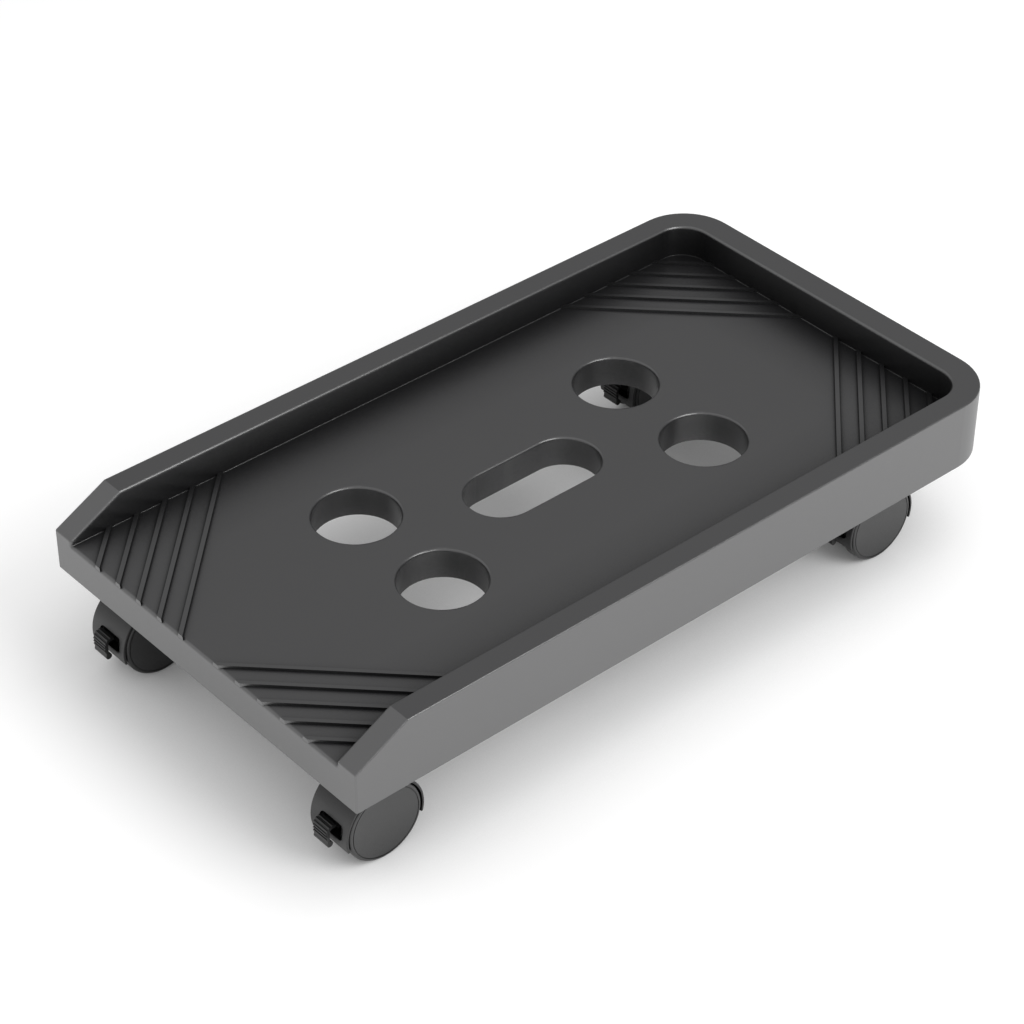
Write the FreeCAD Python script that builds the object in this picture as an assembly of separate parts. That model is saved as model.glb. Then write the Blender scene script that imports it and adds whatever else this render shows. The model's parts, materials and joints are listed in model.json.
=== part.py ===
"""Rolling CPU holder: a moulded tray with a raised rim on four braked twin-wheel swivel casters.

Frame: millimetres, +Z up, +Y towards the closed rear rim, origin on the ground under the middle of
the tray. Every caster is the same, with its brake lever facing the open front (-Y).
"""
import FreeCAD, Part
import math
import os

V = FreeCAD.Vector
X_AXIS = V(1, 0, 0)
Z_AXIS = V(0, 0, 1)

# Tray, outside
TRAY_LENGTH = 472.6
TRAY_WIDTH = 260.0
FLOOR_TOP = 83.5                        # tray floor above the ground
RIM_RISE = 20.6                         # rim top above the tray floor
WALL_DROP = 22.7                        # outer wall below the tray floor
FRONT_CORNER_RADIUS = 1.2
REAR_CORNER_RADIUS = 33.0
RIM_OUTER_EDGE_RADIUS = 1.0
RIM_INNER_EDGE_RADIUS = 2.0
LOWER_EDGE_RADIUS = 0.8

# Tray, the bay that the computer stands in
BAY_WIDTH = 230.0
BAY_LENGTH = 455.6
BAY_CORNER_RADIUS = 17.5
BAY_FLOOR_FILLET = 0.6
SLOPE_LENGTH = 33.8                     # each rim's front end slopes down over this length
SLOPE_END_RISE = 3.1                    # height of the slope's lower end above the floor

# Tray, mould thicknesses on the underside
OUTER_WALL = 3.0
INNER_WALL = 2.6
FLOOR_THICKNESS = 3.0
SKIRT_THICKNESS = 2.5
SKIRT_DROP = 19.0
STIFFENER_THICKNESS = 2.2
STIFFENER_DROP = 13.0

# Tray, vents through the floor
VENT_RADIUS = 25.0
VENT_X = 36.7
VENT_FROM_FRONT = (133.9, 326.5)
SLOT_WIDTH = 42.0
SLOT_LENGTH = 89.0
SLOT_FROM_FRONT = 230.2
VENT_EDGE_RADIUS = 1.7

# Tray, five raised diagonal grip ribs in each corner of the floor
GRIP_RIBS = 5
GRIP_RIB_FIRST = 25.0                   # first rib's reach along the wall from the corner
GRIP_RIB_PITCH = 18.7
GRIP_RIB_ANGLE = 45.0                   # degrees across each corner
GRIP_RIB_BASE = 3.1
GRIP_RIB_TOP = 2.5
GRIP_RIB_HEIGHT = 1.5

# Casters: where the axles are, and the offset from an axle back to its swivel stem
FRONT_AXLE_FROM_FRONT = 31.7
REAR_AXLE_FROM_FRONT = 405.0
FRONT_CASTER_X = 97.5
REAR_CASTER_X = 91.5
TRAIL = 12.0

# Wheels and axle
WHEEL_RADIUS = 23.7
CASTER_WIDTH = 30.4
WHEEL_WIDTH = 8.5
WHEEL_EDGE_RADIUS = 1.7
WHEEL_RIM = 3.6
WHEEL_FACE = 2.2
WHEEL_HUB_RADIUS = 6.0
WHEEL_SPOKES = 6
WHEEL_SPOKE_THICKNESS = 1.6
FACE_LINE_RADIUS = 21.7
FACE_LINE_WIDTH = 0.5
FACE_LINE_DEPTH = 0.3
AXLE_RADIUS = 3.0
AXLE_LENGTH = 24.6
AXLE_END_CHAMFER = 0.6

# Caster housing
HOOD_RADIUS = 25.6
HOOD_THICKNESS = 1.3
HOOD_WIDTH = 30.0
HOOD_END_ANGLE = 15.0                   # both ends of the hood reach this far below the axle's level
HOOD_EDGE_RADIUS = 0.5
WEB_WIDTH = 12.4
WEB_LOWER_RADIUS = 11.0
STEM_BOSS_RADIUS = 7.5
STEM_BOSS_TOP = 51.5
LEVER_WINDOW_LEFT = 7.6                 # the lever's window, each way from the middle
LEVER_WINDOW_RIGHT = 11.2
LEVER_WINDOW_BELOW = 1.0
LEVER_WINDOW_ABOVE = 8.6
LEVER_WINDOW_BACK = 19.5
LEVER_WINDOW_CORNER = 3.0
LEVER_SLOT_WIDTH = 6.8
LEVER_SLOT_BACK = 7.5
LEVER_SLOT_BELOW = 7.0
LEVER_SLOT_ABOVE = 13.0

# Swivel stem and the ring that grips it in the tray
STEM_RADIUS = 4.0
STEM_BOTTOM = 31.0
STEM_TOP = 77.0
STEM_END_CHAMFER = 0.8
STEM_GROOVE_BOTTOM = 34.0
STEM_GROOVE_WIDTH = 1.6
STEM_GROOVE_DEPTH = 0.6
COLLAR_RADIUS = 7.5
COLLAR_BOTTOM = 52.0
COLLAR_THICKNESS = 2.0
SOCKET_FLOOR = 30.0
GRIP_RING_RADIUS = 5.6
GRIP_RING_LENGTH = 18.0
GRIP_RING_SPLIT = 1.4
TRAY_BOSS_RADIUS = 11.0
GUSSET_REACH = 19.0
GUSSET_DROP = 22.0

# Brake lever, measured from the axle's centre, with the pedal in front of it
PIN_FORWARD = 15.0
PIN_ABOVE_AXLE = 3.5
PIN_RADIUS = 1.5
PIN_LENGTH = 12.0
LEVER_HUB_RADIUS = 3.4
LEVER_CORE_WIDTH = 6.0
ARM_FRONT = 29.1
ARM_BOTTOM = 3.2
ARM_TOP = 7.2
NOSE_BACK = 9.2
NOSE_BOTTOM = 0.5
PEDAL_WIDTH = 11.2
PEDAL_FRONT = 30.6
PEDAL_ROOT = 24.8
PEDAL_THICKNESS = 1.6
PEDAL_BEND_RADIUS = 3.6                 # outside of the bend from the arm down into the pedal
PEDAL_BEAD_RADIUS = 1.9
PEDAL_BEAD_FORWARD = 29.0
PEDAL_BEAD_DROP = 4.1
PEDAL_RIBS = 6                          # up the front of the pedal and on round its bend
PEDAL_RIB_PITCH = 1.97
PEDAL_RIB_LOWEST = -0.6
PEDAL_RIB_RADIUS = 0.6

# Fits
RUNNING_CLEARANCE = 0.06                # radial, between a shaft and what turns on it
END_CLEARANCE = 0.6                     # along an axle, between a wheel's bore and the axle's end
OVERLAP = 1.0                           # how far a cutting or joining shape runs past a face
TOLERANCE = 0.01

FRONT_Y = -TRAY_LENGTH / 2
SLOT_Y = FRONT_Y + SLOT_FROM_FRONT
REAR_Y = TRAY_LENGTH / 2
BAY_REAR_Y = FRONT_Y + BAY_LENGTH
RIM_TOP = FLOOR_TOP + RIM_RISE
WALL_BOTTOM = FLOOR_TOP - WALL_DROP
FLOOR_BOTTOM = FLOOR_TOP - FLOOR_THICKNESS
CASTERS = {
    "front_left": (-FRONT_CASTER_X, FRONT_Y + FRONT_AXLE_FROM_FRONT),
    "front_right": (FRONT_CASTER_X, FRONT_Y + FRONT_AXLE_FROM_FRONT),
    "rear_left": (-REAR_CASTER_X, FRONT_Y + REAR_AXLE_FROM_FRONT),
    "rear_right": (REAR_CASTER_X, FRONT_Y + REAR_AXLE_FROM_FRONT),
}


# ---------------------------------------------------------------- shared shapes

def box(x_low, x_high, y_low, y_high, z_low, z_high):
    corner = V(x_low, y_low, z_low)
    return Part.makeBox(x_high - x_low, y_high - y_low, z_high - z_low, corner)


def centred_box(width, y_low, y_high, z_low, z_high):
    return box(-width / 2, width / 2, y_low, y_high, z_low, z_high)


def upright(radius, x, y, z_low, z_high):
    return Part.makeCylinder(radius, z_high - z_low, V(x, y, z_low), Z_AXIS)


def crosswise(radius, x_low, x_high, y, z):
    return Part.makeCylinder(radius, x_high - x_low, V(x_low, y, z), X_AXIS)


def arc(centre, radius, start_angle, sweep):
    """An arc in plan, counter-clockwise from above."""
    points = []
    for share in (0, 0.5, 1):
        angle = math.radians(start_angle + share * sweep)
        points.append(centre + V(radius * math.cos(angle), radius * math.sin(angle), 0))
    return Part.Arc(points[0], points[1], points[2]).toShape()


def rounded_outline(half_width, y_front, y_rear, front_radius, rear_radius):
    """A closed rounded rectangle at z = 0, symmetrical about x = 0."""
    front_x = half_width - front_radius
    rear_x = half_width - rear_radius
    front_turn = y_front + front_radius
    rear_turn = y_rear - rear_radius
    edges = [
        Part.makeLine(V(-front_x, y_front, 0), V(front_x, y_front, 0)),
        arc(V(front_x, front_turn, 0), front_radius, 270, 90),
        Part.makeLine(V(half_width, front_turn, 0), V(half_width, rear_turn, 0)),
        arc(V(rear_x, rear_turn, 0), rear_radius, 0, 90),
        Part.makeLine(V(rear_x, y_rear, 0), V(-rear_x, y_rear, 0)),
        arc(V(-rear_x, rear_turn, 0), rear_radius, 90, 90),
        Part.makeLine(V(-half_width, rear_turn, 0), V(-half_width, front_turn, 0)),
        arc(V(-front_x, front_turn, 0), front_radius, 180, 90),
    ]
    return Part.Wire(edges)


def prism(outline, z_low, z_high):
    face = Part.Face(outline)
    face.translate(V(0, 0, z_low))
    return face.extrude(V(0, 0, z_high - z_low))


def edges_where(shape, test):
    """The edges whose middle point passes the test."""
    chosen = []
    for edge in shape.Edges:
        middle = edge.valueAt((edge.FirstParameter + edge.LastParameter) / 2)
        if test(edge, middle):
            chosen.append(edge)
    return chosen


def along_y(edge, middle):
    return near(abs(edge.tangentAt(edge.FirstParameter).y), 1)


def near(value, target):
    return abs(value - target) < TOLERANCE


# ---------------------------------------------------------------- tray

def tray_outline(inset):
    """The tray's outside in plan, moved inwards by the inset."""
    return rounded_outline(TRAY_WIDTH / 2 - inset, FRONT_Y + inset, REAR_Y - inset,
                           max(FRONT_CORNER_RADIUS - inset, LOWER_EDGE_RADIUS),
                           REAR_CORNER_RADIUS - inset)


def bay_outline(growth):
    """The bay in plan, grown outwards and open past the tray's front."""
    return rounded_outline(BAY_WIDTH / 2 + growth, FRONT_Y - BAY_CORNER_RADIUS, BAY_REAR_Y + growth,
                           OVERLAP, BAY_CORNER_RADIUS + growth)


def slope_wedge(drop):
    """Everything above the sloping front ends of the rim, lowered by the drop."""
    low = FLOOR_TOP + SLOPE_END_RISE
    rise_per_mm = (RIM_TOP - low) / SLOPE_LENGTH
    y_start = FRONT_Y - OVERLAP
    y_end = FRONT_Y + SLOPE_LENGTH + OVERLAP
    z_start = low - OVERLAP * rise_per_mm - drop
    z_end = RIM_TOP + OVERLAP * rise_per_mm - drop
    corners = [
        V(-TRAY_WIDTH, y_start, z_start),
        V(-TRAY_WIDTH, y_end, z_end),
        V(-TRAY_WIDTH, y_end, RIM_TOP + RIM_RISE),
        V(-TRAY_WIDTH, y_start, RIM_TOP + RIM_RISE),
    ]
    face = Part.Face(Part.makePolygon(corners + corners[:1]))
    return face.extrude(V(2 * TRAY_WIDTH, 0, 0))


def slope_height(y):
    """Height of the rim's sloping end at y, or the rim's top behind it."""
    low = FLOOR_TOP + SLOPE_END_RISE
    rise_per_mm = (RIM_TOP - low) / SLOPE_LENGTH
    return min(RIM_TOP, low + (y - FRONT_Y) * rise_per_mm)


def slot_outline(width, length):
    """A round-ended slot at z = 0, long along Y."""
    radius = width / 2
    near_turn = SLOT_Y - length / 2 + radius
    far_turn = SLOT_Y + length / 2 - radius
    edges = [
        arc(V(0, near_turn, 0), radius, 180, 180),
        Part.makeLine(V(radius, near_turn, 0), V(radius, far_turn, 0)),
        arc(V(0, far_turn, 0), radius, 0, 180),
        Part.makeLine(V(-radius, far_turn, 0), V(-radius, near_turn, 0)),
    ]
    return Part.Wire(edges)


def vent_centres():
    centres = []
    for from_front in VENT_FROM_FRONT:
        for side in (-1, 1):
            centres.append((side * VENT_X, FRONT_Y + from_front))
    return centres


def vent_openings(growth, z_low, z_high):
    """The four round vents and the slot as solids, grown outwards."""
    solids = []
    for x, y in vent_centres():
        solids.append(upright(VENT_RADIUS + growth, x, y, z_low, z_high))
    slot = slot_outline(SLOT_WIDTH + 2 * growth, SLOT_LENGTH + 2 * growth)
    solids.append(prism(slot, z_low, z_high))
    return solids


def tray_body():
    """The outer block with the bay, the sloping ends and the rounded edges."""
    block = prism(tray_outline(0), WALL_BOTTOM, RIM_TOP)
    bay = prism(bay_outline(0), FLOOR_TOP, RIM_TOP + OVERLAP)
    body = block.cut(bay).cut(slope_wedge(0))

    def inner_rim(edge, middle):
        on_side = near(abs(middle.x), BAY_WIDTH / 2) or near(middle.y, BAY_REAR_Y)
        on_turn = edge.Curve.TypeId == "Part::GeomCircle" and near(edge.Curve.Radius, BAY_CORNER_RADIUS)
        return near(middle.z, slope_height(middle.y)) and (on_side or on_turn)

    def outer_rim(edge, middle):
        on_side = near(abs(middle.x), TRAY_WIDTH / 2) or near(middle.y, REAR_Y)
        on_turn = edge.Curve.TypeId == "Part::GeomCircle" and near(edge.Curve.Radius, REAR_CORNER_RADIUS)
        return near(middle.z, slope_height(middle.y)) and (on_side or on_turn)

    def foot_of_bay_wall(edge, middle):
        inside = middle.y > FRONT_Y + SLOPE_LENGTH / 2
        return inside and near(middle.z, FLOOR_TOP)

    def lower_edge(edge, middle):
        return near(middle.z, WALL_BOTTOM)

    body = body.makeFillet(BAY_FLOOR_FILLET, edges_where(body, foot_of_bay_wall))
    body = body.makeFillet(RIM_OUTER_EDGE_RADIUS, edges_where(body, outer_rim))
    body = body.makeFillet(RIM_INNER_EDGE_RADIUS, edges_where(body, inner_rim))
    return body.makeFillet(LOWER_EDGE_RADIUS, edges_where(body, lower_edge))


def underside_hollow():
    """The space under the floor and up inside the rim."""
    under_floor = prism(tray_outline(OUTER_WALL), WALL_BOTTOM - OVERLAP, FLOOR_BOTTOM)
    channel = prism(tray_outline(OUTER_WALL), FLOOR_BOTTOM - OVERLAP, RIM_TOP - FLOOR_THICKNESS)
    channel = channel.cut(prism(bay_outline(INNER_WALL), WALL_BOTTOM, RIM_TOP + OVERLAP))
    channel = channel.cut(slope_wedge(FLOOR_THICKNESS))
    return under_floor.fuse(channel)


def grip_rib(reach):
    """One straight raised rib, laid along +X at the origin, then turned across a corner."""
    length = 2 * reach
    profile = [
        V(-length, -GRIP_RIB_BASE / 2, -OVERLAP),
        V(-length, GRIP_RIB_BASE / 2, -OVERLAP),
        V(-length, GRIP_RIB_BASE / 2, 0),
        V(-length, GRIP_RIB_TOP / 2, GRIP_RIB_HEIGHT),
        V(-length, -GRIP_RIB_TOP / 2, GRIP_RIB_HEIGHT),
        V(-length, -GRIP_RIB_BASE / 2, 0),
    ]
    face = Part.Face(Part.makePolygon(profile + profile[:1]))
    return face.extrude(V(2 * length, 0, 0))


def grip_ribs():
    """The diagonal ribs in all four corners, trimmed to the bay's floor."""
    ribs = []
    for x_side in (-1, 1):
        for y_corner, y_inwards in ((FRONT_Y, 1), (BAY_REAR_Y, -1)):
            for index in range(GRIP_RIBS):
                reach = GRIP_RIB_FIRST + index * GRIP_RIB_PITCH
                rib = grip_rib(reach)
                rib.rotate(V(0, 0, 0), Z_AXIS, GRIP_RIB_ANGLE * x_side * y_inwards)
                corner = V(x_side * BAY_WIDTH / 2, y_corner, FLOOR_TOP)
                rib.translate(corner + V(-x_side * reach / 2, y_inwards * reach / 2, 0))
                ribs.append(rib)
    room = prism(bay_outline(INNER_WALL / 2), FLOOR_BOTTOM, RIM_TOP)
    room = room.common(box(-TRAY_WIDTH, TRAY_WIDTH, FRONT_Y, REAR_Y, FLOOR_BOTTOM, RIM_TOP))
    return [rib.common(room) for rib in ribs]


def stiffeners():
    """Ribs under the floor, along the vents and across between them."""
    z_low = FLOOR_BOTTOM - STIFFENER_DROP
    z_high = FLOOR_BOTTOM + OVERLAP
    half = STIFFENER_THICKNESS / 2
    inner_x = TRAY_WIDTH / 2 - OUTER_WALL / 2
    front = FRONT_Y + OUTER_WALL / 2
    rear = REAR_Y - OUTER_WALL / 2
    plates = []
    for x in (-VENT_X, 0, VENT_X):
        plates.append(box(x - half, x + half, front, rear, z_low, z_high))
    spacing = (VENT_FROM_FRONT[1] - VENT_FROM_FRONT[0]) / 2
    for step in (-2, -1, 0, 1, 2):
        y = SLOT_Y + step * spacing
        plates.append(box(-inner_x, inner_x, y - half, y + half, z_low, z_high))
    return plates


def rim_braces():
    """Short cross plates inside the hollow rim."""
    z_low = WALL_BOTTOM + STIFFENER_DROP
    z_high = RIM_TOP - FLOOR_THICKNESS / 2
    half = STIFFENER_THICKNESS / 2
    inner_x = BAY_WIDTH / 2 + INNER_WALL / 2
    outer_x = TRAY_WIDTH / 2 - OUTER_WALL / 2
    spacing = (VENT_FROM_FRONT[1] - VENT_FROM_FRONT[0]) / 4
    plates = []
    for step in range(-3, 4):
        y = SLOT_Y + step * spacing
        plates.append(box(inner_x, outer_x, y - half, y + half, z_low, z_high))
        plates.append(box(-outer_x, -inner_x, y - half, y + half, z_low, z_high))
    return plates


def caster_boss(x, y):
    """A round socket with four gussets under the floor, for one caster's stem."""
    boss_bottom = COLLAR_BOTTOM + COLLAR_THICKNESS
    boss = upright(TRAY_BOSS_RADIUS, x, y, boss_bottom, FLOOR_BOTTOM + OVERLAP)
    half = STIFFENER_THICKNESS / 2
    z_low = FLOOR_BOTTOM - GUSSET_DROP
    z_high = FLOOR_BOTTOM + OVERLAP
    along = box(x - half, x + half, y - GUSSET_REACH, y + GUSSET_REACH, z_low, z_high)
    across = box(x - GUSSET_REACH, x + GUSSET_REACH, y - half, y + half, z_low, z_high)
    return boss.fuse([along, across])


def tray():
    body = tray_body().cut(underside_hollow())
    added = vent_openings(SKIRT_THICKNESS, FLOOR_TOP - SKIRT_DROP, FLOOR_BOTTOM + OVERLAP)
    added += stiffeners()
    added += rim_braces()
    for x, axle_y in CASTERS.values():
        added.append(caster_boss(x, axle_y + TRAIL))
    added += grip_ribs()
    body = body.fuse(added)
    body = body.cut(vent_openings(0, WALL_BOTTOM - OVERLAP, RIM_TOP + OVERLAP))
    sockets = []
    for x, axle_y in CASTERS.values():
        y = axle_y + TRAIL
        sockets.append(upright(GRIP_RING_RADIUS, x, y, COLLAR_BOTTOM, STEM_TOP + OVERLAP))
    body = body.cut(sockets).removeSplitter()

    def vent_lip(edge, middle):
        if not near(middle.z, FLOOR_TOP):
            return False
        for x, y in vent_centres():
            if near(math.hypot(middle.x - x, middle.y - y), VENT_RADIUS):
                return True
        in_slot_length = abs(middle.y - SLOT_Y) < SLOT_LENGTH / 2 + OVERLAP
        return in_slot_length and abs(middle.x) < SLOT_WIDTH / 2 + OVERLAP

    return body.makeFillet(VENT_EDGE_RADIUS, edges_where(body, vent_lip))


# ---------------------------------------------------------------- one caster, axle above y = 0, x = 0

def wheel(side):
    """One wheel: a closed outer face, a tread rim, and a hub with spokes open towards the web."""
    outer = CASTER_WIDTH / 2
    inner = outer - WHEEL_WIDTH
    solid = crosswise(WHEEL_RADIUS, inner, outer, 0, WHEEL_RADIUS)
    solid = solid.makeFillet(WHEEL_EDGE_RADIUS, edges_where(solid, lambda edge, middle: edge.isClosed()))
    hollow = crosswise(WHEEL_RADIUS - WHEEL_RIM, inner - OVERLAP, outer - WHEEL_FACE, 0, WHEEL_RADIUS)
    hollow = hollow.cut(crosswise(WHEEL_HUB_RADIUS, inner - 2 * OVERLAP, outer, 0, WHEEL_RADIUS))
    for index in range(WHEEL_SPOKES):
        spoke = box(inner + OVERLAP, outer, -WHEEL_SPOKE_THICKNESS / 2, WHEEL_SPOKE_THICKNESS / 2,
                    WHEEL_RADIUS, 2 * WHEEL_RADIUS)
        spoke.rotate(V(0, 0, WHEEL_RADIUS), X_AXIS, index * 360.0 / WHEEL_SPOKES)
        hollow = hollow.cut(spoke)
    bore_end = AXLE_LENGTH / 2 + END_CLEARANCE
    bore = crosswise(AXLE_RADIUS + RUNNING_CLEARANCE, inner - OVERLAP, bore_end, 0, WHEEL_RADIUS)
    face_line = crosswise(FACE_LINE_RADIUS, outer - FACE_LINE_DEPTH, outer + OVERLAP, 0, WHEEL_RADIUS)
    inside_line = FACE_LINE_RADIUS - FACE_LINE_WIDTH
    face_line = face_line.cut(crosswise(inside_line, inner, outer + 2 * OVERLAP, 0, WHEEL_RADIUS))
    solid = solid.cut([hollow, bore, face_line])
    if side < 0:
        solid = solid.mirror(V(0, 0, 0), X_AXIS)
    return solid


def axle():
    half = AXLE_LENGTH / 2
    rod = crosswise(AXLE_RADIUS, -half, half, 0, WHEEL_RADIUS)
    return rod.makeChamfer(AXLE_END_CHAMFER, edges_where(rod, lambda edge, middle: edge.isClosed()))


def hood():
    """The curved cover over both wheels."""
    half = HOOD_WIDTH / 2
    cover = crosswise(HOOD_RADIUS, -half, half, 0, WHEEL_RADIUS)
    cover = cover.makeFillet(HOOD_EDGE_RADIUS, edges_where(cover, lambda edge, middle: edge.isClosed()))
    inside = crosswise(HOOD_RADIUS - HOOD_THICKNESS, -CASTER_WIDTH, CASTER_WIDTH, 0, WHEEL_RADIUS)
    end_drop = HOOD_RADIUS * math.sin(math.radians(HOOD_END_ANGLE))
    below = centred_box(2 * CASTER_WIDTH, -2 * HOOD_RADIUS, 2 * HOOD_RADIUS,
                        -HOOD_RADIUS, WHEEL_RADIUS - end_drop)
    return cover.cut([inside, below])


def web():
    """The thick middle plate between the wheels, which carries the axle, stem and lever."""
    half = WEB_WIDTH / 2
    inside_hood = HOOD_RADIUS - HOOD_THICKNESS / 2
    end_drop = HOOD_RADIUS * math.sin(math.radians(HOOD_END_ANGLE))
    upper = crosswise(inside_hood, -half, half, 0, WHEEL_RADIUS)
    below = centred_box(2 * CASTER_WIDTH, -2 * HOOD_RADIUS, 2 * HOOD_RADIUS,
                        -HOOD_RADIUS, WHEEL_RADIUS - end_drop)
    lower = crosswise(WEB_LOWER_RADIUS, -half, half, 0, WHEEL_RADIUS)
    return upper.cut(below).fuse(lower)


def housing():
    wheel_room = crosswise(HOOD_RADIUS - HOOD_THICKNESS, -CASTER_WIDTH, CASTER_WIDTH, 0, WHEEL_RADIUS)
    boss = upright(STEM_BOSS_RADIUS, 0, TRAIL, WHEEL_RADIUS, STEM_BOSS_TOP).cut(wheel_room)
    body = hood().fuse([web(), boss])
    window = centred_box(LEVER_WINDOW_LEFT + LEVER_WINDOW_RIGHT, -2 * HOOD_RADIUS, -LEVER_WINDOW_BACK,
                         WHEEL_RADIUS - LEVER_WINDOW_BELOW, WHEEL_RADIUS + LEVER_WINDOW_ABOVE)
    window.translate(V((LEVER_WINDOW_RIGHT - LEVER_WINDOW_LEFT) / 2, 0, 0))
    window = window.makeFillet(LEVER_WINDOW_CORNER, edges_where(window, along_y))
    slot = centred_box(LEVER_SLOT_WIDTH, -LEVER_WINDOW_BACK - OVERLAP, -LEVER_SLOT_BACK,
                       WHEEL_RADIUS - LEVER_SLOT_BELOW, WHEEL_RADIUS + LEVER_SLOT_ABOVE)
    axle_bore = crosswise(AXLE_RADIUS, -WEB_WIDTH, WEB_WIDTH, 0, WHEEL_RADIUS)
    pin_bore = crosswise(PIN_RADIUS, -WEB_WIDTH, WEB_WIDTH, -PIN_FORWARD,
                         WHEEL_RADIUS + PIN_ABOVE_AXLE)
    stem_bore = upright(STEM_RADIUS + RUNNING_CLEARANCE, 0, TRAIL, SOCKET_FLOOR, STEM_BOSS_TOP + OVERLAP)
    return body.cut([window, slot, axle_bore, pin_bore, stem_bore]).removeSplitter()


def stem():
    """The steel swivel pin: its lower end turns in the housing, its collar bears on the tray."""
    rod = upright(STEM_RADIUS, 0, TRAIL, STEM_BOTTOM, STEM_TOP)
    rod = rod.makeChamfer(STEM_END_CHAMFER, edges_where(rod, lambda edge, middle: edge.isClosed()))
    collar = upright(COLLAR_RADIUS, 0, TRAIL, COLLAR_BOTTOM, COLLAR_BOTTOM + COLLAR_THICKNESS)
    groove_top = STEM_GROOVE_BOTTOM + STEM_GROOVE_WIDTH
    groove = upright(STEM_RADIUS + OVERLAP, 0, TRAIL, STEM_GROOVE_BOTTOM, groove_top)
    groove = groove.cut(upright(STEM_RADIUS - STEM_GROOVE_DEPTH, 0, TRAIL, STEM_BOTTOM, STEM_TOP))
    return rod.fuse(collar).cut(groove)


def grip_ring():
    """A split sleeve that holds the stem in the tray's boss."""
    z_low = COLLAR_BOTTOM + COLLAR_THICKNESS
    z_high = z_low + GRIP_RING_LENGTH
    ring = upright(GRIP_RING_RADIUS, 0, TRAIL, z_low, z_high)
    ring = ring.cut(upright(STEM_RADIUS, 0, TRAIL, z_low - OVERLAP, z_high + OVERLAP))
    split = centred_box(GRIP_RING_SPLIT, TRAIL, TRAIL + 2 * GRIP_RING_RADIUS, z_low, z_high)
    return ring.cut(split)


def pedal_plate():
    """A plate bent down from the arm: flat on top, round the bend, then down to the bead."""
    bend_y = PEDAL_FRONT - PEDAL_BEND_RADIUS
    bend_z = ARM_TOP - PEDAL_BEND_RADIUS
    inner_radius = PEDAL_BEND_RADIUS - PEDAL_THICKNESS
    diagonal = math.sqrt(0.5)

    def corner(forward, up):
        return V(-PEDAL_WIDTH / 2, -forward, WHEEL_RADIUS + up)

    def bend(radius):
        middle = corner(bend_y + radius * diagonal, bend_z + radius * diagonal)
        return corner(bend_y, bend_z + radius), middle, corner(bend_y + radius, bend_z)

    outer = bend(PEDAL_BEND_RADIUS)
    inner = bend(inner_radius)
    outer_foot = corner(PEDAL_FRONT, -PEDAL_BEAD_DROP)
    inner_foot = corner(PEDAL_FRONT - PEDAL_THICKNESS, -PEDAL_BEAD_DROP)
    outer_root = corner(PEDAL_ROOT, ARM_TOP)
    inner_root = corner(PEDAL_ROOT, ARM_TOP - PEDAL_THICKNESS)
    edges = [
        Part.makeLine(outer_root, outer[0]),
        Part.Arc(*outer).toShape(),
        Part.makeLine(outer[2], outer_foot),
        Part.makeLine(outer_foot, inner_foot),
        Part.makeLine(inner_foot, inner[2]),
        Part.Arc(*inner).toShape(),
        Part.makeLine(inner[0], inner_root),
        Part.makeLine(inner_root, outer_root),
    ]
    return Part.Face(Part.Wire(edges)).extrude(V(PEDAL_WIDTH, 0, 0))


def pedal_ribs():
    """Ribs across the pedal, up its front and on round the bend."""
    half = PEDAL_WIDTH / 2
    bend_y = PEDAL_FRONT - PEDAL_BEND_RADIUS
    bend_z = ARM_TOP - PEDAL_BEND_RADIUS
    ribs = []
    for index in range(PEDAL_RIBS):
        along = PEDAL_RIB_LOWEST + index * PEDAL_RIB_PITCH
        turn = max(0, along - bend_z) / PEDAL_BEND_RADIUS
        forward = bend_y + PEDAL_BEND_RADIUS * math.cos(turn)
        up = min(along, bend_z) + PEDAL_BEND_RADIUS * math.sin(turn)
        ribs.append(crosswise(PEDAL_RIB_RADIUS, -half, half, -forward, WHEEL_RADIUS + up))
    return ribs


def brake_lever():
    """Hub, arm and nose inside the housing, and a ribbed pedal with a curled lip outside it."""
    axle_z = WHEEL_RADIUS
    core = LEVER_CORE_WIDTH / 2
    half = PEDAL_WIDTH / 2
    pin_z = axle_z + PIN_ABOVE_AXLE
    hub = crosswise(LEVER_HUB_RADIUS, -core, core, -PIN_FORWARD, pin_z)
    arm = centred_box(LEVER_CORE_WIDTH, -ARM_FRONT, -PIN_FORWARD,
                      axle_z + ARM_BOTTOM, axle_z + ARM_TOP - PEDAL_THICKNESS / 2)
    nose = centred_box(LEVER_CORE_WIDTH, -PIN_FORWARD, -NOSE_BACK,
                       axle_z + NOSE_BOTTOM, pin_z + LEVER_HUB_RADIUS / 2)
    bead = crosswise(PEDAL_BEAD_RADIUS, -half, half, -PEDAL_BEAD_FORWARD, axle_z - PEDAL_BEAD_DROP)
    lever = hub.fuse([arm, nose, pedal_plate(), bead] + pedal_ribs())
    bore = crosswise(PIN_RADIUS + RUNNING_CLEARANCE, -half, half, -PIN_FORWARD, pin_z)
    return lever.cut(bore).removeSplitter()


def lever_pin():
    return crosswise(PIN_RADIUS, -PIN_LENGTH / 2, PIN_LENGTH / 2, -PIN_FORWARD,
                     WHEEL_RADIUS + PIN_ABOVE_AXLE)


# ---------------------------------------------------------------- files

def single_solid(shape, name):
    if shape.ShapeType == "Solid":
        return shape
    solids = shape.Solids
    if len(solids) != 1:
        raise ValueError(f"{name} has {len(solids)} solids")
    return solids[0]


def export(shape, name):
    solid = single_solid(shape, name)
    if not solid.isValid():
        raise ValueError(f"{name} is not a valid solid")
    solid.exportStep(f"parts/{name}.step")
    print(f"{name}: {solid.Volume / 1000:.2f} cm3")


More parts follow.
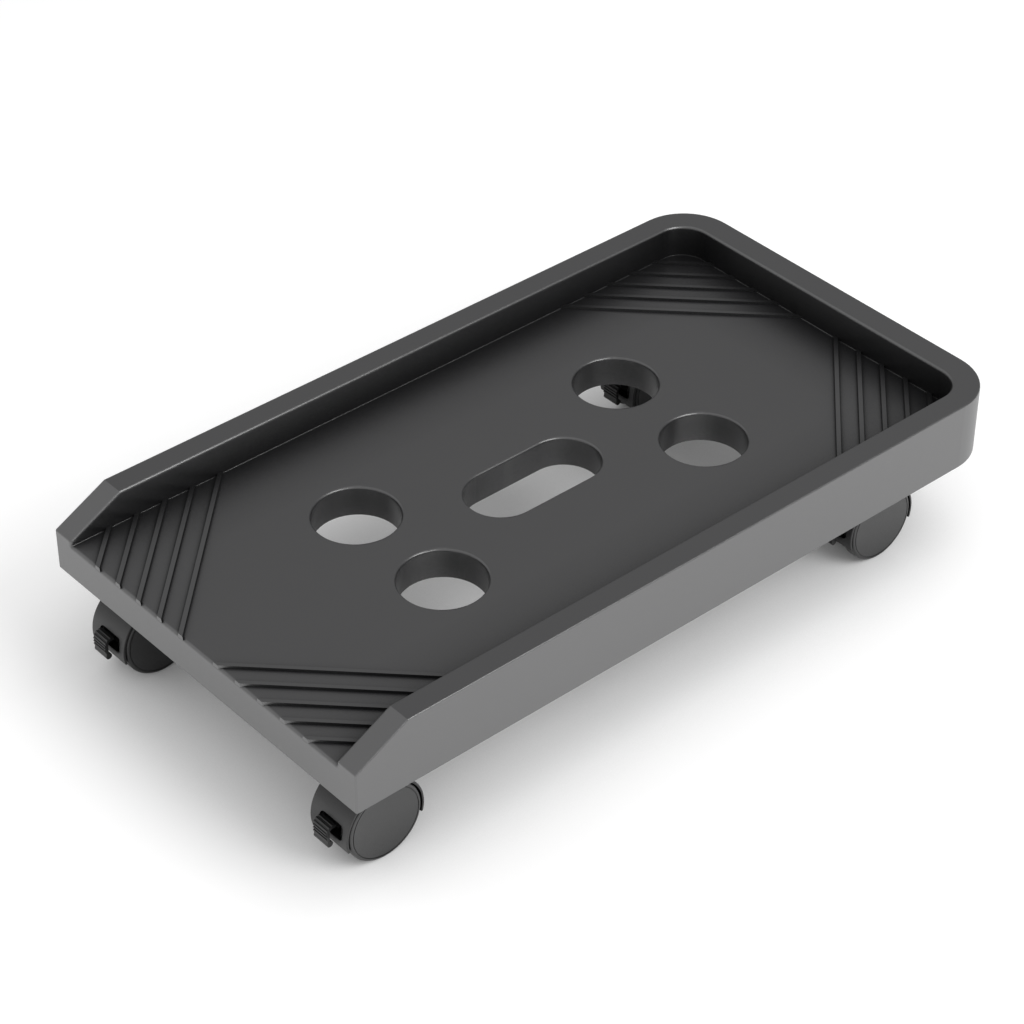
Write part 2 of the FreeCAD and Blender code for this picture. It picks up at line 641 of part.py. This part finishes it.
def main():
    os.makedirs("parts", exist_ok=True)
    export(tray(), "tray")
    caster_pieces = {
        "housing": housing(),
        "stem": stem(),
        "grip_ring": grip_ring(),
        "axle": axle(),
        "wheel_left": wheel(-1),
        "wheel_right": wheel(1),
        "brake_lever": brake_lever(),
        "lever_pin": lever_pin(),
    }
    for place, (x, y) in CASTERS.items():
        for piece, shape in caster_pieces.items():
            placed = shape.copy()
            placed.translate(V(x, y, 0))
            export(placed, f"{place}_{piece}")


main()
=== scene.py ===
"""Studio picture of the rolling CPU holder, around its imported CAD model. Metres, +Z up."""
import bpy
import json
import math
from mathutils import Matrix, Vector

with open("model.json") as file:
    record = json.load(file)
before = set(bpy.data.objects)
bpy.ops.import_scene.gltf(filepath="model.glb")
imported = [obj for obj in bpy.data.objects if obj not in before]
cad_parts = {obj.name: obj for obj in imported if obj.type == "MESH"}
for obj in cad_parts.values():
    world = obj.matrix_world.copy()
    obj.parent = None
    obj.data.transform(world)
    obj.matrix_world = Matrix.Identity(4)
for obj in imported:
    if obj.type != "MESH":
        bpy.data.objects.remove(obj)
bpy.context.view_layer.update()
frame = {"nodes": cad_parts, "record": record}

# Camera
CAMERA_PLACE = (0.9903, -0.8873, 1.0779)
CAMERA_AIM = (0.0170, -0.0363, 0.0835)
CAMERA_ROLL = 0.205                     # degrees, counter-clockwise
CAMERA_LENS = 104.8                     # mm, as is the sensor's width
SENSOR_WIDTH = 36.0
CAMERA_REACH = 100.0

# Light: a large soft lamp overhead, one from the right, and a dim sky, brighter in front (-Y)
LIGHT_AIM = (0.0, 0.0, 0.0)
TOP_LIGHT_PLACE = (0.45, 0.60, 2.1)
TOP_LIGHT_SIZE = 1.8
TOP_LIGHT_WATTS = 15.0
SIDE_LIGHT_PLACE = (1.50, 0.30, 1.40)
SIDE_LIGHT_SIZE = 1.2
SIDE_LIGHT_WATTS = 20.0
SKY_REAR = 0.330
SKY_FRONT = 0.70
SKY_REAR_FROM = 0.15                    # Y of the directions where the sky reaches its rear strength
SKY_FRONT_FROM = -0.30                  # and its front strength
WHITE = (1.0, 1.0, 1.0, 1.0)

# Floor: pale, with a glow that dims where the object stands close, a painted shadow around it
FLOOR_RADIUS = 6.0
FLOOR_CORNERS = 96
FLOOR_GREY = (0.70, 0.70, 0.70)
FLOOR_ROUGHNESS = 0.9
FLOOR_SPECULAR = 0.1
FLOOR_CLOUD_SCALE = 3.0
FLOOR_CLOUD_CHANGE = 0.005              # share by which the cloudiness lightens and darkens the grey
FLOOR_GLOW = 0.43
PAINTED_SHADOW_REACH = 0.16                       # parts nearer than this to the floor dim its glow: painted shadow

# Plastics: base colour, refractive index, shine and surface of the mouldings
TRAY_GREY = (0.021, 0.021, 0.022)
CASTER_GREY = (0.014, 0.014, 0.0145)    # housings and wheels
LEVER_GREY = (0.012, 0.012, 0.0125)
PLASTIC_IOR = 1.8
TRAY_SPECULAR = 0.96
HOOD_SPECULAR = 0.36                    # housings and levers
WHEEL_SPECULAR = 0.56
CLOUD_SCALE = 38.0
CLOUD_CHANGE = 0.05                     # share by which the cloudiness lightens and darkens the grey
GLOSS_SCALE = 120.0
GLOSS_CHANGE = 0.01                     # change of the roughness to either side
GRAIN_STRENGTH = 0.35

# Painted shade: in corners, holes and under the tray the plastics' shine and colour are darkened,
# and in narrow crevices too. Each has a reach, and the openness for the least and for the full
# shine.
TRAY_PAINTED_SHADE = (0.05, 0.62, 0.92)
CASTER_PAINTED_SHADE = (0.15, 0.26, 0.58)
TRAY_PAINTED_CREVICE_SHADE = (0.0035, 0.45, 0.90)
CASTER_PAINTED_CREVICE_SHADE = (0.006, 0.52, 0.90)
PAINTED_SHADE_SHINE = 0.06                  # share of the shine left in full painted shade
PAINTED_SHADE_COLOUR = 0.4                  # share of the colour left there
OPENNESS_SAMPLES = 6

# Steel: base colour, and the plating's fine mottling
STEEL_GREY = (0.56, 0.56, 0.57)
MOTTLE_SCALE = 900.0
MOTTLE_DARKEST = 0.85                   # shares of the base colour
MOTTLE_LIGHTEST = 1.1
MOTTLE_CHANGE = 0.08                    # change of the roughness to either side
MOTTLE_STRENGTH = 0.2
MOTTLE_DEPTH = 0.00003


# ---------------------------------------------------------------- node helpers

class Nodes:
    """A node tree, with short calls for adding and joining nodes."""

    def __init__(self, tree):
        self.tree = tree

    def add(self, kind, **values):
        node = self.tree.nodes.new(kind)
        for key, value in values.items():
            setattr(node, key, value)
        return node

    def join(self, output, socket):
        self.tree.links.new(output, socket)


class MaterialNodes(Nodes):
    """A new material's node tree and its main shader."""

    def __init__(self, name):
        self.material = bpy.data.materials.new(name)
        self.material.use_nodes = True
        super().__init__(self.material.node_tree)
        self.shader = self.tree.nodes["Principled BSDF"]


def object_place(nodes):
    """Coordinates in metres that stay with the piece."""
    return nodes.add("ShaderNodeTexCoord").outputs["Object"]


def noise(nodes, place, scale, detail=2.0, roughness=0.5):
    texture = nodes.add("ShaderNodeTexNoise")
    texture.inputs["Scale"].default_value = scale
    texture.inputs["Detail"].default_value = detail
    texture.inputs["Roughness"].default_value = roughness
    nodes.join(place, texture.inputs["Vector"])
    return texture.outputs["Fac"]


def to_range(nodes, value, low, high, from_low=0.0, from_high=1.0, curve="LINEAR"):
    """The value carried over from one range of numbers to another, and held within it."""
    mapping = nodes.add("ShaderNodeMapRange", interpolation_type=curve)
    mapping.inputs["From Min"].default_value = from_low
    mapping.inputs["From Max"].default_value = from_high
    mapping.inputs["To Min"].default_value = low
    mapping.inputs["To Max"].default_value = high
    nodes.join(value, mapping.inputs["Value"])
    return mapping.outputs["Result"]


def maths(nodes, operation, first, second):
    """A maths node on two values, each a socket or a number."""
    node = nodes.add("ShaderNodeMath", operation=operation)
    for socket, value in zip(node.inputs, (first, second)):
        if isinstance(value, float):
            socket.default_value = value
        else:
            nodes.join(value, socket)
    return node.outputs[0]


def scaled_colour(colour, factor):
    return tuple(min(1.0, part * factor) for part in colour) + (1.0,)


def mixed_colour(nodes, factor, low, high):
    """A Mix node on colours, whose sockets come after those for numbers and vectors."""
    mix = nodes.add("ShaderNodeMix", data_type="RGBA")
    nodes.join(factor, mix.inputs[0])
    mix.inputs[6].default_value = low
    mix.inputs[7].default_value = high
    return mix.outputs[2]


def bumped(nodes, height, strength, distance):
    bump = nodes.add("ShaderNodeBump")
    bump.inputs["Strength"].default_value = strength
    bump.inputs["Distance"].default_value = distance
    nodes.join(height, bump.inputs["Height"])
    return bump.outputs["Normal"]


def openness(nodes, reach, shut=0.0, clear=1.0):
    """1 where nothing is nearer than the reach, and towards 0 in corners and holes: the mask of the
    painted shade and shadow.
    """
    occlusion = nodes.add("ShaderNodeAmbientOcclusion", samples=OPENNESS_SAMPLES)
    occlusion.inputs["Distance"].default_value = reach
    return to_range(nodes, occlusion.outputs["AO"], 0.0, 1.0, shut, clear)


# ---------------------------------------------------------------- materials

def moulded_plastic(name, grey, specular, roughness, grain_scale, grain_depth, painted_shade, painted_crevice_shade):
    """Spark-textured moulding: a fine even grain, faint cloudiness and slightly uneven gloss.

    Its shine and colour fade where the surface is sheltered: painted shade, darker in corners,
    holes, crevices and under the tray.
    """
    nodes = MaterialNodes(name)
    place = object_place(nodes)
    cloud = noise(nodes, place, CLOUD_SCALE, detail=3.0, roughness=0.55)
    colour = mixed_colour(nodes, cloud, scaled_colour(grey, 1.0 - CLOUD_CHANGE),
                          scaled_colour(grey, 1.0 + CLOUD_CHANGE))
    # painted shade: the occlusion by near parts and in narrow crevices darkens the colour and the
    # shine
    painted_shade_openness = maths(nodes, "MINIMUM", openness(nodes, *painted_shade), openness(nodes, *painted_crevice_shade))
    # painted shade on the colour: darker where the surface is sheltered
    painted_shade_colour = nodes.add("ShaderNodeVectorMath", operation="SCALE")
    nodes.join(colour, painted_shade_colour.inputs[0])
    nodes.join(to_range(nodes, painted_shade_openness, PAINTED_SHADE_COLOUR, 1.0), painted_shade_colour.inputs["Scale"])
    nodes.join(painted_shade_colour.outputs[0], nodes.shader.inputs["Base Color"])
    gloss = noise(nodes, place, GLOSS_SCALE, roughness=0.6)
    gloss = to_range(nodes, gloss, roughness - GLOSS_CHANGE, roughness + GLOSS_CHANGE)
    nodes.join(gloss, nodes.shader.inputs["Roughness"])
    grain = noise(nodes, place, grain_scale, roughness=0.65)
    nodes.join(bumped(nodes, grain, GRAIN_STRENGTH, grain_depth), nodes.shader.inputs["Normal"])
    nodes.shader.inputs["IOR"].default_value = PLASTIC_IOR
    nodes.shader.inputs["Specular IOR Level"].default_value = specular
    # painted shade on the reflections: the shine fades in the same sheltered places
    painted_shade_shine = to_range(nodes, painted_shade_openness, PAINTED_SHADE_SHINE, 1.0)
    nodes.join(painted_shade_shine, nodes.shader.inputs["Specular Tint"])
    return nodes.material


def plated_steel(name, roughness):
    """Zinc-plated steel with a fine mottling in colour, gloss and surface."""
    nodes = MaterialNodes(name)
    place = object_place(nodes)
    mottle = noise(nodes, place, MOTTLE_SCALE, roughness=0.6)
    colour = mixed_colour(nodes, mottle, scaled_colour(STEEL_GREY, MOTTLE_DARKEST),
                          scaled_colour(STEEL_GREY, MOTTLE_LIGHTEST))
    nodes.join(colour, nodes.shader.inputs["Base Color"])
    nodes.shader.inputs["Metallic"].default_value = 1.0
    gloss = to_range(nodes, mottle, roughness - MOTTLE_CHANGE, roughness + MOTTLE_CHANGE)
    nodes.join(gloss, nodes.shader.inputs["Roughness"])
    nodes.join(bumped(nodes, mottle, MOTTLE_STRENGTH, MOTTLE_DEPTH), nodes.shader.inputs["Normal"])
    return nodes.material


def studio_floor_material():
    nodes = MaterialNodes("studio_floor")
    place = object_place(nodes)
    cloud = noise(nodes, place, FLOOR_CLOUD_SCALE)
    # painted shadow: the glow dims where parts stand near the floor
    glow_with_painted_shadow = maths(nodes, "MULTIPLY", openness(nodes, PAINTED_SHADOW_REACH), FLOOR_GLOW)
    nodes.join(glow_with_painted_shadow, nodes.shader.inputs["Emission Strength"])
    nodes.shader.inputs["Emission Color"].default_value = WHITE
    colour = mixed_colour(nodes, cloud, scaled_colour(FLOOR_GREY, 1.0 - FLOOR_CLOUD_CHANGE),
                          scaled_colour(FLOOR_GREY, 1.0 + FLOOR_CLOUD_CHANGE))
    nodes.join(colour, nodes.shader.inputs["Base Color"])
    nodes.shader.inputs["Roughness"].default_value = FLOOR_ROUGHNESS
    nodes.shader.inputs["Specular IOR Level"].default_value = FLOOR_SPECULAR
    return nodes.material


def tray_plastic():
    return moulded_plastic("tray_plastic", TRAY_GREY, TRAY_SPECULAR, roughness=0.36,
                           grain_scale=2600.0, grain_depth=0.00006,
                           painted_shade=TRAY_PAINTED_SHADE, painted_crevice_shade=TRAY_PAINTED_CREVICE_SHADE)


def caster_plastic():
    return moulded_plastic("caster_plastic", CASTER_GREY, HOOD_SPECULAR, roughness=0.38,
                           grain_scale=3200.0, grain_depth=0.00004,
                           painted_shade=CASTER_PAINTED_SHADE, painted_crevice_shade=CASTER_PAINTED_CREVICE_SHADE)


def wheel_plastic():
    return moulded_plastic("wheel_plastic", CASTER_GREY, WHEEL_SPECULAR, roughness=0.36,
                           grain_scale=3200.0, grain_depth=0.00003,
                           painted_shade=CASTER_PAINTED_SHADE, painted_crevice_shade=CASTER_PAINTED_CREVICE_SHADE)


def lever_plastic():
    return moulded_plastic("lever_plastic", LEVER_GREY, HOOD_SPECULAR, roughness=0.40,
                           grain_scale=3200.0, grain_depth=0.00004,
                           painted_shade=CASTER_PAINTED_SHADE, painted_crevice_shade=CASTER_PAINTED_CREVICE_SHADE)


def cad_materials():
    """The material of each record slot."""
    return {
        "tray_plastic": tray_plastic(),
        "caster_plastic": caster_plastic(),
        "wheel_plastic": wheel_plastic(),
        "lever_plastic": lever_plastic(),
        "steel": plated_steel("plated_steel", roughness=0.32),
        "spring_steel": plated_steel("spring_steel", roughness=0.4),
    }


def dress_cad_nodes():
    materials = cad_materials()
    for part in frame["record"]["subparts"]:
        node = frame["nodes"][part["node"]]
        node.data.materials.clear()
        node.data.materials.append(materials[part["material_slot"]])


# ---------------------------------------------------------------- studio

def add_camera():
    camera = bpy.data.objects.new("camera", bpy.data.cameras.new("camera"))
    bpy.context.scene.collection.objects.link(camera)
    camera.data.lens = CAMERA_LENS
    camera.data.sensor_width = SENSOR_WIDTH
    camera.data.clip_end = CAMERA_REACH
    forward = (Vector(CAMERA_AIM) - Vector(CAMERA_PLACE)).normalized()
    turn = forward.to_track_quat("-Z", "Y").to_matrix().to_4x4()
    roll = Matrix.Rotation(math.radians(CAMERA_ROLL), 4, "Z")
    camera.matrix_world = Matrix.Translation(CAMERA_PLACE) @ turn @ roll
    bpy.context.scene.camera = camera


def add_area_light(name, place, size, watts):
    """A round lamp that faces the aim of all the lights."""
    lamp = bpy.data.lights.new(name, "AREA")
    lamp.shape = "DISK"
    lamp.size = size
    lamp.energy = watts
    holder = bpy.data.objects.new(name, lamp)
    bpy.context.scene.collection.objects.link(holder)
    direction = (Vector(LIGHT_AIM) - Vector(place)).normalized()
    turn = direction.to_track_quat("-Z", "Y").to_matrix().to_4x4()
    holder.matrix_world = Matrix.Translation(place) @ turn
    return holder


def add_sky():
    world = bpy.data.worlds.new("studio")
    world.use_nodes = True
    nodes = Nodes(world.node_tree)
    background = world.node_tree.nodes["Background"]
    background.inputs["Color"].default_value = WHITE
    direction = nodes.add("ShaderNodeTexCoord").outputs["Generated"]
    parts = nodes.add("ShaderNodeSeparateXYZ")
    nodes.join(direction, parts.inputs[0])
    strength = to_range(nodes, parts.outputs["Y"], SKY_FRONT, SKY_REAR,
                        SKY_FRONT_FROM, SKY_REAR_FROM, "SMOOTHSTEP")
    nodes.join(strength, background.inputs["Strength"])
    bpy.context.scene.world = world


def add_floor():
    bpy.ops.mesh.primitive_circle_add(vertices=FLOOR_CORNERS, radius=FLOOR_RADIUS, fill_type="NGON")
    floor = bpy.context.object
    floor.name = "studio_floor"
    floor.data.materials.append(studio_floor_material())


def set_tones():
    bpy.context.scene.view_settings.view_transform = "Standard"
    bpy.context.scene.view_settings.look = "None"


dress_cad_nodes()
add_camera()
add_sky()
top_light = add_area_light("top_light", TOP_LIGHT_PLACE, TOP_LIGHT_SIZE, TOP_LIGHT_WATTS)
top_light.visible_glossy = False        # it lights and shades, but leaves no highlight
add_area_light("side_light", SIDE_LIGHT_PLACE, SIDE_LIGHT_SIZE, SIDE_LIGHT_WATTS)
add_floor()
set_tones()
